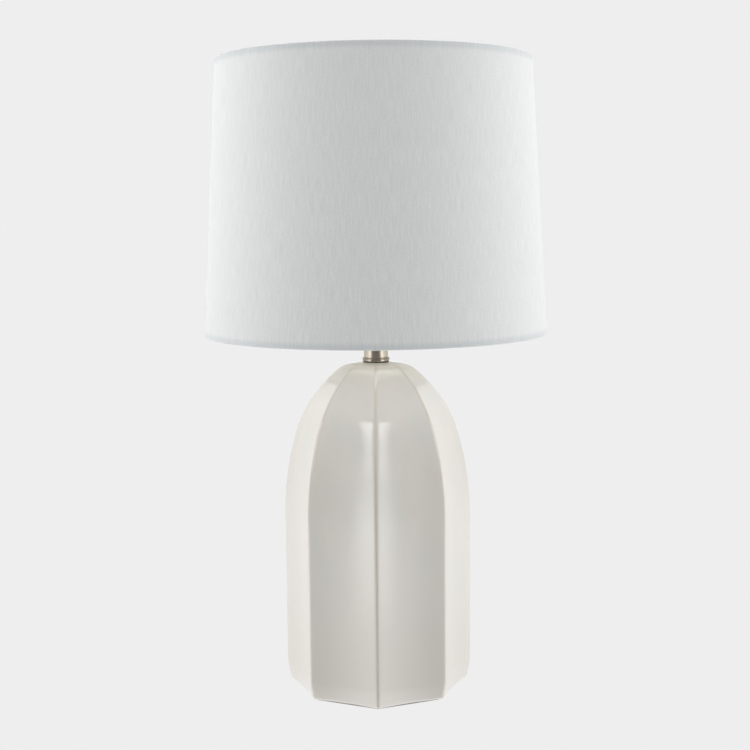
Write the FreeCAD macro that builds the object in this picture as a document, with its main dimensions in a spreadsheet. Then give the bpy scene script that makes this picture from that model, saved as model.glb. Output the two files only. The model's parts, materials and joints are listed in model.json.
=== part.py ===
"""Column table lamp: a fluted eight-sided ceramic column, a nickel neck and a tapered drum shade.

Millimetres, +Z up. The origin is the centre of the foot, on the surface that the lamp stands on.
-Y is the front, and the cord inlet is at the back.
"""
import FreeCAD, Part
import math
import os
import re

import Sketcher

Vector = FreeCAD.Vector
Rotation = FreeCAD.Rotation
Constraint = Sketcher.Constraint

FLUTES = 8
HALF_FLUTE = 180 / FLUTES
INLET_ANGLE = 90 + HALF_FLUTE
SPIDER_ARMS = 3
# The most of a straight run that the rounding at one of its ends may take up.
ROUNDING_SHARE = 0.495
# The drawn length of an axis, which has no other meaning.
AXIS_LENGTH = 100

SIZES = [
    # felt pad under the foot
    ("pad_thickness", 1.5),
    ("pad_inset", 7.5),
    # ceramic column: eight hollow flutes between sharp ridges, under a domed top
    ("body_height", 345.0),
    ("body_flat_radius", 89.0),
    ("flute_curve_radius", 288.0),
    ("body_wall", 6.0),
    ("top_wall", 8.0),
    ("foot_taper", 3.2),
    ("foot_taper_height", 18.5),
    ("foot_taper_radius", 40.0),
    ("foot_edge_radius", 4.0),
    ("foot_land", 2.5),
    ("foot_lift", 0.5),
    ("dome_drop", 120.8),
    ("dome_curve_radius", 350.0),
    ("shoulder_drop", 37.9),
    ("shoulder_inset", 19.75),
    ("shoulder_radius", 138.0),
    ("crown_drop", 2.6),
    ("crown_inset", 56.7),
    ("crown_radius", 23.0),
    ("crown_rise", 2.4),
    ("floor_lift", 32.5),
    ("floor_thickness", 6.5),
    ("recess_inset", 11.0),
    ("rod_hole_radius", 5.5),
    # cord inlet bushing in the foot wall
    ("inlet_height", 23.5),
    ("inlet_bore_radius", 3.3),
    ("inlet_barrel_radius", 5.4),
    ("inlet_flange_radius", 7.0),
    ("inlet_flange_thickness", 1.5),
    ("inlet_lip", 0.5),
    ("inlet_tail", 1.5),
    # threaded rod and the stack that clamps the column to the neck
    ("rod_radius", 4.8),
    ("rod_bore_radius", 3.1),
    ("rod_tail", 3.0),
    ("rod_engagement", 5.5),
    ("clamp_radius", 19.0),
    ("cushion_thickness", 2.0),
    ("plate_thickness", 1.6),
    ("spring_washer_radius", 8.4),
    ("spring_washer_thickness", 1.6),
    ("nut_flats", 14.3),
    ("nut_height", 5.0),
    ("lock_nut_height", 3.2),
    ("bush_flange_thickness", 1.2),
    ("bush_depth", 5.0),
    ("bush_bore_radius", 2.2),
    ("thread_lead", 0.4),
    # nickel neck
    ("seat_radius", 13.4),
    ("seat_thickness", 0.8),
    ("collar_radius", 14.2),
    ("collar_height", 3.6),
    ("collar_edge", 0.7),
    ("tube_radius", 12.7),
    ("tube_wall", 0.9),
    ("tube_length", 40.0),
    ("spigot_height", 3.0),
    ("cap_radius", 13.6),
    ("cap_thickness", 2.4),
    # harp: saddle, wire loop, locking sleeves and the stud that carries the shade
    ("saddle_thickness", 2.0),
    ("saddle_width", 13.0),
    ("saddle_flat", 19.0),
    ("saddle_bend", 6.0),
    ("arm_rise", 9.0),
    ("tab_rise", 12.5),
    ("tab_width", 4.0),
    ("tab_height", 11.0),
    ("leg_spread", 31.0),
    ("harp_height", 241.5),
    ("harp_wire_radius", 2.4),
    ("leg_straight", 42.0),
    ("leg_bend", 30.0),
    ("harp_spread", 57.0),
    ("flare_height", 57.0),
    ("flare_bend", 60.0),
    ("harp_shoulder_drop", 72.0),
    ("harp_shoulder_bend", 80.0),
    ("harp_crown_half", 26.0),
    ("harp_crown_bend", 22.0),
    ("sleeve_wall", 1.4),
    ("sleeve_height", 14.0),
    ("barrel_radius", 7.0),
    ("barrel_height", 7.8),
    ("barrel_edge", 0.7),
    ("stud_radius", 3.15),
    ("stud_height", 13.5),
    # shade: spider, rings, liner, fabric and hems
    ("hub_radius", 11.0),
    ("hub_thickness", 3.0),
    ("spider_drop", 16.9),
    ("spider_inner", 20.0),
    ("spider_outer", 48.0),
    ("spider_bend", 14.0),
    ("ring_wire_radius", 1.6),
    ("shade_height", 281.0),
    ("shade_top_radius", 161.8),
    ("shade_bottom_radius", 178.0),
    ("fabric_thickness", 0.5),
    ("liner_thickness", 0.8),
    ("hem_thickness", 0.5),
    ("hem_height", 6.0),
    # finial
    ("finial_height", 16.8),
    ("finial_base_radius", 8.0),
    ("finial_base_height", 2.6),
    ("finial_base_edge", 0.7),
    ("finial_neck_radius", 6.4),
    ("finial_neck_height", 2.0),
    ("finial_ball_radius", 7.8),
    ("finial_ball_edge", 2.0),
    ("finial_crown_edge", 4.6),
    ("insert_radius", 4.6),
    ("insert_height", 10.5),
    ("stud_head_room", 1.2),
    # lampholder
    ("holder_hub_radius", 7.5),
    ("holder_hub_edge", 0.7),
    ("holder_hub_height", 6.0),
    ("holder_flare_height", 6.5),
    ("holder_rim_height", 10.5),
    ("holder_rim_radius", 16.8),
    ("holder_wall", 0.8),
    ("holder_shoulder_edge", 2.1),
    ("shell_overlap", 6.5),
    ("shell_wall", 0.6),
    ("shell_height", 37.0),
    ("sleeve_liner_wall", 0.7),
    ("sleeve_liner_height", 36.0),
    ("core_height", 16.0),
    ("core_flat", 10.5),
    ("core_edge", 0.7),
    ("screw_shell_radius", 14.0),
    ("screw_shell_wall", 0.5),
    ("screw_shell_height", 19.5),
    ("screw_shell_edge", 0.7),
    ("contact_hole_radius", 6.0),
    ("contact_width", 5.0),
    ("contact_rise", 2.4),
    ("contact_half", 4.0),
    ("contact_strip", 0.5),
    ("terminal_head_radius", 3.0),
    ("terminal_head_height", 1.8),
    ("terminal_shank_radius", 1.7),
    ("terminal_shank_length", 4.0),
    ("set_screw_radius", 1.5),
    # turn switch
    ("switch_rise", 8.0),
    ("rotor_radius", 5.5),
    ("rotor_length", 8.6),
    ("rotor_edge", 0.7),
    ("key_radius", 1.7),
    ("key_length", 20.0),
    ("key_socket", 5.0),
    ("key_port_radius", 2.3),
    ("knob_radius", 5.6),
    ("knob_length", 13.0),
    ("knob_edge", 0.7),
    ("knob_end_edge", 1.4),
    ("knob_neck_radius", 3.4),
    ("knob_neck_length", 4.0),
    ("knob_socket", 9.0),
    # bulb
    ("bulb_length", 110.0),
    ("bulb_radius", 30.0),
    ("bulb_shell_radius", 13.0),
    ("bulb_shell_wall", 0.4),
    ("bulb_shell_height", 21.0),
    ("bulb_shell_edge", 0.7),
    ("bulb_tip_radius", 4.6),
    ("bulb_tip_height", 1.8),
    ("bulb_tip_edge", 1.1),
    ("bulb_insulator_radius", 9.4),
    ("bulb_insulator_height", 3.6),
    ("housing_neck_radius", 13.9),
    ("housing_height", 32.0),
    ("housing_neck_height", 6.4),
    ("housing_rim_height", 4.0),
    ("housing_curve_radius", 16.0),
    ("housing_rim_radius", 28.5),
    ("housing_wall", 1.6),
    ("globe_wall", 1.4),
    ("globe_shoulder_height", 15.0),
    ("globe_shoulder_radius", 30.0),
    ("globe_crown_radius", 29.1),
    ("led_board_thickness", 1.6),
    # clearances
    ("fit_gap", 0.05),
    ("turn_gap", 0.3),
    ("slide_gap", 0.2),
]

LEVELS = {
    "body_low": "pad_thickness",
    "body_top": "body_low + body_height",
    "flute_axis": "body_flat_radius + flute_curve_radius",
    "ridge_radius": f"flute_axis * cos({HALF_FLUTE}) "
                    f"- sqrt(flute_curve_radius ^ 2 - (flute_axis * sin({HALF_FLUTE})) ^ 2)",
    "flute_sweep": "2 * asin(ridge_radius / flute_curve_radius)",
    "blank_radius": "ridge_radius + body_wall",
    "floor_low": "body_low + floor_lift",
    "floor_top": "floor_low + floor_thickness",
    "recess_flat": "body_flat_radius - recess_inset",
    "inlet_level": "body_low + inlet_height",
    "inlet_hole_radius": "inlet_barrel_radius + fit_gap",
    "inlet_seat": "inlet_flange_radius ^ 2 / (2 * flute_curve_radius) + fit_gap",
    "inlet_length": "inlet_tail + recess_inset + inlet_seat",
    "cushion_low": "floor_low - cushion_thickness",
    "plate_low": "cushion_low - plate_thickness",
    "spring_low": "plate_low - spring_washer_thickness",
    "nut_low": "spring_low - nut_height",
    "rod_low": "nut_low - rod_tail",
    "rod_clear": "rod_radius + slide_gap",
    "collar_low": "body_top + seat_thickness",
    "tube_low": "collar_low + collar_height",
    "tube_inner": "tube_radius - tube_wall",
    "tube_top": "tube_low + tube_length",
    "cap_top": "tube_top + cap_thickness",
    "saddle_top": "cap_top + saddle_thickness",
    "saddle_mid": "cap_top + saddle_thickness / 2",
    "tab_low": "saddle_mid + tab_rise",
    "tab_top": "tab_low + tab_height",
    "leg_low": "tab_low + turn_gap",
    "lock_top": "saddle_top + lock_nut_height",
    "rod_top": "lock_top + rod_engagement",
    "harp_seat": "saddle_top + harp_height",
    "harp_crown": "harp_seat - barrel_height / 2",
    "hub_low": "harp_seat + turn_gap",
    "hub_top": "hub_low + hub_thickness",
    "arm_level": "hub_low + hub_thickness / 2",
    "arm_radius": "hub_thickness / 2",
    "top_ring_level": "arm_level + spider_drop",
    "hem_lip": "hem_thickness + fit_gap",
    "shade_top": "top_ring_level + ring_wire_radius + hem_lip",
    "shade_low": "shade_top - shade_height",
    "bottom_ring_level": "shade_low + hem_lip + ring_wire_radius",
    "shade_slope": "(shade_bottom_radius - shade_top_radius) / shade_height",
    "skin_thickness": "fabric_thickness + liner_thickness",
    "ring_inset": "skin_thickness + ring_wire_radius + fit_gap",
    "hem_inner": "ring_inset + ring_wire_radius + fit_gap",
    "finial_low": "hub_top + turn_gap",
    "finial_top": "finial_low + finial_height",
    "stud_top": "harp_seat + stud_height",
    "holder_flare": "lock_top + holder_hub_height",
    "holder_rim": "holder_flare + holder_flare_height",
    "holder_top": "holder_rim + holder_rim_height",
    "shell_low": "holder_top - shell_overlap",
    "shell_radius": "holder_rim_radius - holder_wall - fit_gap",
    "sleeve_liner_radius": "shell_radius - shell_wall - fit_gap",
    "core_radius": "sleeve_liner_radius - sleeve_liner_wall - fit_gap",
    "core_low": "shell_low + holder_wall",
    "core_top": "core_low + core_height",
    "switch_level": "core_low + switch_rise",
    "rotor_face": "sqrt(core_radius ^ 2 - rotor_radius ^ 2) - slide_gap",
    "key_end": "rotor_face + key_length",
    "knob_face": "key_end + turn_gap - knob_socket",
    "contact_top": "core_top + contact_rise + contact_strip",
    "bulb_low": "contact_top + turn_gap",
    "bulb_top": "bulb_low + bulb_length",
    "shell_foot": "bulb_low + bulb_tip_height + bulb_insulator_height",
    "shell_mouth": "shell_foot + bulb_shell_height",
    "housing_top": "shell_mouth + turn_gap + housing_height",
}

doc = FreeCAD.newDocument("column_table_lamp")
sheet = doc.addObject("Spreadsheet::Sheet", "sizes")
for row, (alias, number) in enumerate(SIZES, 1):
    sheet.set(f"A{row}", alias)
    sheet.set(f"B{row}", str(number))
    sheet.setAlias(f"B{row}", alias)
doc.recompute()
ALIASES = {alias for alias, number in SIZES}
PARTS = []


def formula(text):
    """Spell out a formula of size names and levels as an expression on the sheet."""

    def spell(word):
        name = word.group(0)
        if name in LEVELS:
            return f"({formula(LEVELS[name])})"
        return f"sizes.{name}" if name in ALIASES else name

    return re.sub(r"[a-z][a-z_]*", spell, str(text))


def value(text):
    return float(sheet.evalExpression(formula(text)))


def bind(thing, **formulas):
    """Set properties from formulas; a double underscore in a name stands for a dot."""
    for name, text in formulas.items():
        thing.setExpression(name.replace("__", "."), formula(text))
    return thing


def finish(thing, label):
    """Give a finished sub-part the label that names its file."""
    thing.Label = label
    PARTS.append(thing)
    return thing


def place(thing, x=0, y=0, z=0, turn=None):
    """Put a thing at a place given by formulas, turned first."""
    if turn is not None:
        thing.Placement = FreeCAD.Placement(Vector(), turn)
    return bind(thing, Placement__Base__x=x, Placement__Base__y=y, Placement__Base__z=z)


def new_body(name):
    return doc.addObject("PartDesign::Body", name)


def plane(body, role):
    return next(f for f in body.Origin.OriginFeatures if f.Role == role)


def new_sketch(body, name, role="XZ_Plane", lift=None):
    """A sketch on one of the body's own planes, lifted off it by a formula where one is given."""
    sketch = body.newObject("Sketcher::SketchObject", name)
    sketch.AttachmentSupport = (plane(body, role), [""])
    sketch.MapMode = "FlatFace"
    if lift is not None:
        bind(sketch, AttachmentOffset__Base__z=lift)
    return sketch


def hold(sketch, constraint, text):
    """Add a constraint whose value follows a formula."""
    index = sketch.addConstraint(constraint)
    sketch.setExpression(f"Constraints[{index}]", formula(text))


def draw(sketch, corners, closed=True):
    """Draw straight runs through corners (across, up, rounding), each held by its formulas.

    A rounding of None leaves the corner sharp. A rounding stays inside the runs beside it.
    """
    corners = [(*c, None)[:3] for c in corners]
    count = len(corners)
    points = [Vector(value(c[0]), value(c[1]), 0) for c in corners]
    inner = range(count) if closed else range(1, count - 1)
    rounds = {}
    for i in inner:
        if corners[i][2] is None:
            continue
        back = points[i - 1] - points[i]
        ahead = points[(i + 1) % count] - points[i]
        half = back.getAngle(ahead) / 2
        room = ROUNDING_SHARE * min(back.Length, ahead.Length) * math.tan(half)
        radius = value(corners[i][2])
        text = corners[i][2] if radius <= room else f"{room:.6f}"
        radius = min(radius, room)
        middle = (back.normalize() + ahead.normalize()).normalize()
        rounds[i] = (radius, half, middle, text)
    cut = [rounds[i][0] / math.tan(rounds[i][1]) if i in rounds else 0 for i in range(count)]
    lines = []
    for i in range(count if closed else count - 1):
        following = (i + 1) % count
        way = (points[following] - points[i]).normalize()
        start = points[i] + way * cut[i]
        end = points[following] - way * cut[following]
        lines.append(sketch.addGeometry(Part.LineSegment(start, end)))
    for i in range(count):
        if i in rounds:
            held = add_round(sketch, lines[i - 1], lines[i], points[i], rounds[i])
        elif i in inner:
            sketch.addConstraint(Constraint("Coincident", lines[i - 1], 2, lines[i], 1))
            held = (lines[i], 1)
        else:
            held = (lines[0], 1) if i == 0 else (lines[-1], 2)
        hold(sketch, Constraint("DistanceX", *held, points[i].x), corners[i][0])
        hold(sketch, Constraint("DistanceY", *held, points[i].y), corners[i][1])
    return sketch


def add_round(sketch, before, after, corner, rounding):
    """Round the corner between two lines, and return the construction point that holds it."""
    radius, half, middle, text = rounding
    centre = corner + middle * (radius / math.sin(half))
    ends = [sketch.Geometry[before].EndPoint - centre, sketch.Geometry[after].StartPoint - centre]
    first = 1 if ends[0].cross(ends[1]).z > 0 else 2
    from_angle, to_angle = (math.atan2(end.y, end.x) for end in ends[:: 3 - 2 * first])
    if to_angle < from_angle:
        to_angle += 2 * math.pi
    circle = Part.Circle(centre, Vector(0, 0, 1), radius)
    arc = sketch.addGeometry(Part.ArcOfCircle(circle, from_angle, to_angle))
    point = sketch.addGeometry(Part.Point(corner), True)
    sketch.addConstraint(Constraint("Tangent", before, 2, arc, first))
    sketch.addConstraint(Constraint("Tangent", arc, 3 - first, after, 1))
    sketch.addConstraint(Constraint("PointOnObject", point, 1, before))
    sketch.addConstraint(Constraint("PointOnObject", point, 1, after))
    hold(sketch, Constraint("Radius", arc, radius), text)
    return point, 1


def draw_circle(sketch, radius, across=0, up=0):
    """Draw a circle whose centre and radius follow formulas."""
    centre = Vector(value(across), value(up), 0)
    circle = sketch.addGeometry(Part.Circle(centre, Vector(0, 0, 1), value(radius)))
    hold(sketch, Constraint("DistanceX", circle, 3, centre.x), across)
    hold(sketch, Constraint("DistanceY", circle, 3, centre.y), up)
    hold(sketch, Constraint("Radius", circle, value(radius)), radius)
    return sketch


def revolve(body, sketch):
    """Revolve a sketch on the XZ plane round the body's upright axis."""
    solid = body.newObject("PartDesign::Revolution", "turned")
    solid.Profile = sketch
    solid.ReferenceAxis = (sketch, ["V_Axis"])
    solid.Angle = 360
    return solid


def turned(label, corners):
    """A piece turned round its own upright axis from a closed section."""
    body = new_body(label)
    revolve(body, draw(new_sketch(body, "section"), corners))
    return finish(body, label)


def ring_section(inner, outer, low, high):
    return [(inner, low), (outer, low), (outer, high), (inner, high)]


def sweep(body, section, route):
    """Sweep a section along every drawn run of a route."""
    pipe = body.newObject("PartDesign::AdditivePipe", "swept")
    pipe.Profile = section
    doc.recompute()
    pipe.Spine = (route, [f"Edge{n}" for n in range(1, len(route.Shape.Edges) + 1)])
    return pipe


def cut(body, sketch, length=None, back=False):
    """Cut a sketch through the body both ways, or one way for a length."""
    pocket = body.newObject("PartDesign::Pocket", "cut")
    pocket.Profile = sketch
    if length is None:
        pocket.Type = "ThroughAll"
        pocket.Midplane = True
    else:
        bind(pocket, Length=length)
        pocket.Reversed = back
    return pocket


def cylinder(radius, height, name="cylinder"):
    return bind(doc.addObject("Part::Cylinder", name), Radius=radius, Height=height)


def octagon(flat, height, name):
    """An eight-sided block whose ridges lie on the X and Y axes; flat is its radius at a flat."""
    block = doc.addObject("Part::Prism", name)
    block.Polygon = FLUTES
    return bind(block, Circumradius=f"({flat}) / cos({HALF_FLUTE})", Height=height)


def without(base, tools, name):
    """The base less every tool."""
    for tool in tools:
        part = doc.addObject("Part::Cut", name)
        part.Base = base
        part.Tool = tool
        base = part
    return base


def fluted_column(name, inset, low, high):
    """A column with eight hollow flutes and a domed top, inset all over from the outside face.

    One flute is a groove turned round an upright axis that stands off the column; the other
    seven are its copies. Where two flutes meet they leave a sharp ridge. The outside has a
    tapered foot, whose flat land round the recess gives way to a lifted edge.
    """
    body = new_body(name)
    disc = new_sketch(body, "disc", "XY_Plane", low)
    draw_circle(disc, "blank_radius")
    blank = body.newObject("PartDesign::Pad", "blank")
    blank.Profile = disc
    bind(blank, Length=f"({high}) - ({low})")
    flat = f"body_flat_radius - ({inset})"
    outside = "blank_radius + body_wall"
    below = f"({low}) - foot_edge_radius"
    above = "body_top + dome_drop"
    bottom = [(flat, below)]
    if inset == 0:
        edge = f"{flat} - foot_taper"
        start = f"2 * (recess_flat + foot_land) - ({edge})"
        bottom = [
            (start, below),
            (start, f"({low}) - foot_lift"),
            (edge, f"({low}) + foot_lift", "foot_edge_radius"),
            (flat, f"({low}) + foot_taper_height", "foot_taper_radius"),
        ]
    profile = bottom + [
        (flat, "body_top - dome_drop", f"dome_curve_radius - ({inset})"),
        (f"{flat} - shoulder_inset", f"body_top - shoulder_drop - ({inset})",
         f"shoulder_radius - ({inset})"),
        (f"{flat} - crown_inset", f"body_top - crown_drop - ({inset})", "crown_radius"),
        (0, f"body_top + crown_rise - ({inset})"),
        (0, above),
        (outside, above),
        (outside, below),
    ]
    section = draw(new_sketch(body, "flute_section"), profile)
    axis = sketch_axis(section, "flute_axis")
    flute = body.newObject("PartDesign::Groove", "flute")
    flute.Profile = section
    flute.ReferenceAxis = (section, [axis])
    bind(flute, Angle="flute_sweep")
    flute.Midplane = True
    doc.recompute()
    flutes = body.newObject("PartDesign::PolarPattern", "flutes")
    flutes.Originals = [flute]
    flutes.Axis = (plane(body, "Z_Axis"), [""])
    flutes.Angle = 360
    flutes.Occurrences = FLUTES
    body.Tip = flutes
    body.Placement = FreeCAD.Placement(Vector(), Rotation(Vector(0, 0, 1), HALF_FLUTE))
    return body


def sketch_axis(sketch, across):
    """An upright construction line at a distance from the sketch's own axis."""
    x = value(across)
    line = sketch.addGeometry(Part.LineSegment(Vector(x, 0, 0), Vector(x, AXIS_LENGTH, 0)), True)
    sketch.addConstraint(Constraint("Vertical", line))
    hold(sketch, Constraint("DistanceX", line, 1, x), across)
    sketch.addConstraint(Constraint("DistanceY", line, 1, 0))
    sketch.addConstraint(Constraint("DistanceY", line, 1, line, 2, AXIS_LENGTH))
    return "Axis0"


INLET_TURN = Rotation(Vector(0, 0, 1), INLET_ANGLE).multiply(Rotation(Vector(0, 1, 0), 90))


def toward_inlet(distance):
    """The place on the back flute's centre line at a distance from the lamp's axis."""
    return dict(x=f"({distance}) * cos({INLET_ANGLE})", y=f"({distance}) * sin({INLET_ANGLE})",
                z="inlet_level")


def make_foot():
    """Felt pad, ceramic column with its raised floor, and the cord inlet's bushing."""
    finish(octagon("body_flat_radius - pad_inset", "pad_thickness", "felt_pad"), "felt_pad")
    outside = fluted_column("column_outside", 0, "body_low", "body_top")
    inside = fluted_column("column_inside", "body_wall", "floor_top", "body_top - top_wall")
    recess = octagon("recess_flat", "floor_low - body_low + foot_edge_radius", "recess")
    place(recess, z="body_low - foot_edge_radius")
    rod_hole = cylinder("rod_hole_radius", "body_top + crown_rise", "rod_hole")
    inlet_hole = cylinder("inlet_hole_radius", "inlet_length + inlet_flange_thickness",
                          "inlet_hole")
    place(inlet_hole, turn=INLET_TURN, **toward_inlet("recess_flat - inlet_tail"))
    ceramic = without(outside, [inside, recess, rod_hole, inlet_hole], "ceramic")
    finish(ceramic, "ceramic_body")
    bushing = turned("cord_inlet_bushing", [
        ("inlet_bore_radius", 0),
        ("inlet_barrel_radius + inlet_lip", 0, "inlet_lip"),
        ("inlet_barrel_radius + inlet_lip", "inlet_tail - turn_gap"),
        ("inlet_barrel_radius", "inlet_tail - turn_gap"),
        ("inlet_barrel_radius", "inlet_length"),
        ("inlet_flange_radius", "inlet_length"),
        ("inlet_flange_radius", "inlet_length + inlet_flange_thickness", "inlet_lip"),
        ("inlet_bore_radius", "inlet_length + inlet_flange_thickness"),
    ])
    place(bushing, turn=INLET_TURN, **toward_inlet("recess_flat - inlet_tail"))


def washer(label, radius, low, thickness):
    return turned(label, ring_section("rod_clear", radius, low, f"({low}) + {thickness}"))


def hex_nut(label, low, height):
    """A six-sided nut with its corners chamfered, on the threaded rod."""
    hexagon = doc.addObject("Part::Prism", label + "_hexagon")
    hexagon.Polygon = 6
    bind(hexagon, Circumradius="nut_flats / 2 / cos(30)", Height=height)
    place(hexagon, z=low)
    corner = "nut_flats / 2 / cos(30)"
    flat = "nut_flats / 2"
    slant = f"(({corner}) - ({flat})) / 2"
    body = new_body(label + "_blank")
    revolve(body, draw(new_sketch(body, "section"), [
        ("rod_radius + fit_gap", low),
        (flat, low),
        (corner, f"({low}) + {slant}"),
        (corner, f"({low}) + {height} - {slant}"),
        (flat, f"({low}) + {height}"),
        ("rod_radius + fit_gap", f"({low}) + {height}"),
    ]))
    nut = doc.addObject("Part::Common", label)
    nut.Base = hexagon
    nut.Tool = body
    return finish(nut, label)


def make_rod():
    """Threaded rod through the column, with the clamp stack under the raised floor."""
    washer("bottom_rubber_washer", "clamp_radius", "cushion_low", "cushion_thickness")
    washer("bottom_steel_washer", "clamp_radius", "plate_low", "plate_thickness")
    washer("bottom_lock_washer", "spring_washer_radius", "spring_low", "spring_washer_thickness")
    hex_nut("bottom_hex_nut", "nut_low", "nut_height")
    turned("threaded_rod", [
        ("rod_bore_radius", "rod_low"),
        ("rod_radius - thread_lead", "rod_low"),
        ("rod_radius", "rod_low + thread_lead"),
        ("rod_radius", "rod_top - thread_lead"),
        ("rod_radius - thread_lead", "rod_top"),
        ("rod_bore_radius", "rod_top"),
    ])
    for label, mouth, way in (("rod_bottom_bush", "rod_low", -1), ("rod_top_bush", "rod_top", 1)):
        turned(label, [
            ("bush_bore_radius", f"{mouth} - ({way}) * bush_depth"),
            ("rod_bore_radius - fit_gap", f"{mouth} - ({way}) * bush_depth"),
            ("rod_bore_radius - fit_gap", mouth),
            ("rod_radius - fit_gap", mouth),
            ("rod_radius - fit_gap", f"{mouth} + ({way}) * bush_flange_thickness"),
            ("bush_bore_radius", f"{mouth} + ({way}) * bush_flange_thickness"),
        ])


def make_neck():
    """Rubber seat, stepped collar, tube and top cap, threaded on the rod."""
    washer("neck_seat_washer", "seat_radius", "body_top", "seat_thickness")
    turned("neck_collar", [
        ("rod_clear", "collar_low"),
        ("collar_radius", "collar_low", "collar_edge"),
        ("collar_radius", "tube_low", "collar_edge"),
        ("tube_inner - fit_gap", "tube_low"),
        ("tube_inner - fit_gap", "tube_low + spigot_height"),
        ("rod_clear", "tube_low + spigot_height"),
    ])
    turned("neck_tube", ring_section("tube_inner", "tube_radius", "tube_low", "tube_top"))
    turned("neck_cap", [
        ("rod_clear", "tube_top - spigot_height"),
        ("tube_inner - fit_gap", "tube_top - spigot_height"),
        ("tube_inner - fit_gap", "tube_top"),
        ("cap_radius", "tube_top", "collar_edge"),
        ("cap_radius", "cap_top", "collar_edge"),
        ("rod_clear", "cap_top"),
    ])


def make_saddle():
    """Strip steel bent up on both sides, with a narrow tab on each end for a harp leg."""
    body = new_body("harp_saddle")
    route = draw(new_sketch(body, "route"), [
        ("-leg_spread", "tab_top"),
        ("-leg_spread", "saddle_mid + arm_rise", "saddle_bend"),
        ("-saddle_flat", "saddle_mid", "saddle_bend"),
        ("saddle_flat", "saddle_mid", "saddle_bend"),
        ("leg_spread", "saddle_mid + arm_rise", "saddle_bend"),
        ("leg_spread", "tab_top"),
    ], closed=False)
    strip = new_sketch(body, "strip", "XY_Plane", "tab_top")
    draw(strip, [
        ("-leg_spread - saddle_thickness / 2", "-saddle_width / 2"),
        ("-leg_spread + saddle_thickness / 2", "-saddle_width / 2"),
        ("-leg_spread + saddle_thickness / 2", "saddle_width / 2"),
        ("-leg_spread - saddle_thickness / 2", "saddle_width / 2"),
    ])
    sweep(body, strip, route)
    sides = new_sketch(body, "tab_sides", "YZ_Plane")
    for way in ("", "-"):
        draw(sides, [
            (f"{way}tab_width / 2", "tab_low"),
            (f"{way}saddle_width", "tab_low"),
            (f"{way}saddle_width", "tab_top + tab_height"),
            (f"{way}tab_width / 2", "tab_top + tab_height"),
        ])
    cut(body, sides)
    hole = draw_circle(new_sketch(body, "rod_hole", "XY_Plane"), "rod_clear")
    cut(body, hole)
    finish(body, "harp_saddle")


def make_harp():
    """Wire loop whose slotted feet straddle the saddle's tabs, its top fitting and its sleeves."""
    body = new_body("harp_wire")
    half = [
        ("leg_spread", "leg_low"),
        ("leg_spread", "tab_low + leg_straight", "leg_bend"),
        ("harp_spread", "tab_low + leg_straight + flare_height", "flare_bend"),
        ("harp_spread", "harp_crown - harp_shoulder_drop", "harp_shoulder_bend"),
        ("harp_crown_half", "harp_crown", "harp_crown_bend"),
    ]
    left = [(f"-{c[0]}", *c[1:]) for c in half]
    route = draw(new_sketch(body, "route"), left + half[::-1], closed=False)
    section = new_sketch(body, "section", "XY_Plane", "leg_low")
    draw_circle(section, "harp_wire_radius", "-leg_spread")
    sweep(body, section, route)
    slots = new_sketch(body, "foot_slots")
    for way in ("", "-"):
        inner = f"{way}(leg_spread - saddle_thickness / 2 - fit_gap)"
        outer = f"{way}(leg_spread + saddle_thickness / 2 + fit_gap)"
        draw(slots, ring_section(inner, outer, "leg_low - tab_height", "tab_top + fit_gap"))
    cut(body, slots)
    finish(body, "harp_wire")

    bore = "harp_wire_radius + slide_gap"
    for label, way in (("harp_sleeve_left", "-"), ("harp_sleeve_right", "")):
        sleeve = turned(label, [
            (bore, "leg_low"),
            (f"{bore} + sleeve_wall", "leg_low", "sleeve_wall / 2"),
            (f"{bore} + sleeve_wall", "leg_low + sleeve_height", "sleeve_wall / 2"),
            (bore, "leg_low + sleeve_height"),
        ])
        place(sleeve, x=f"{way}leg_spread")

    fitting = new_body("harp_stud")
    revolve(fitting, draw(new_sketch(fitting, "section"), [
        (0, "harp_seat - barrel_height"),
        ("barrel_radius", "harp_seat - barrel_height", "barrel_edge"),
        ("barrel_radius", "harp_seat", "barrel_edge"),
        ("stud_radius", "harp_seat"),
        ("stud_radius", "stud_top - thread_lead"),
        ("stud_radius - thread_lead", "stud_top"),
        (0, "stud_top"),
    ]))
    cross = new_sketch(fitting, "cross_hole", "YZ_Plane")
    cut(fitting, draw_circle(cross, "harp_wire_radius + fit_gap", 0, "harp_crown"))
    finish(fitting, "harp_stud")


def shade_radius(level, inset=0):
    """The fabric's outer face at a level, less an inset."""
    return f"shade_bottom_radius - (({level}) - shade_low) * shade_slope - ({inset})"


def cone_section(low, high, inner, outer):
    """A closed section between two insets from the fabric's face, upright between two levels."""
    return [
        (shade_radius(low, inner), low),
        (shade_radius(low, outer), low),
        (shade_radius(high, outer), high),
        (shade_radius(high, inner), high),
    ]


def wire_ring(label, level):
    ring = bind(doc.addObject("Part::Torus", label), Radius1=shade_radius(level, "ring_inset"),
                Radius2="ring_wire_radius")
    return finish(place(ring, z=level), label)


def hem(edge, inward):
    """Fabric tape folded over a rim, round the skins and the wire ring.

    inward is the sign of the way from the rim's edge into the shade.
    """
    fold = f"{edge} + ({inward}) * hem_thickness"
    lip = f"{edge} + ({inward}) * hem_height"
    outer = "-hem_thickness"
    inner = "hem_inner + hem_thickness"
    return [
        (shade_radius(lip, inner), lip),
        (shade_radius(edge, inner), edge, "hem_thickness"),
        (shade_radius(edge, outer), edge, "hem_thickness"),
        (shade_radius(lip, outer), lip),
        (shade_radius(lip), lip),
        (shade_radius(fold), fold),
        (shade_radius(fold, "hem_inner"), fold),
        (shade_radius(lip, "hem_inner"), lip),
    ]


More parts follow.
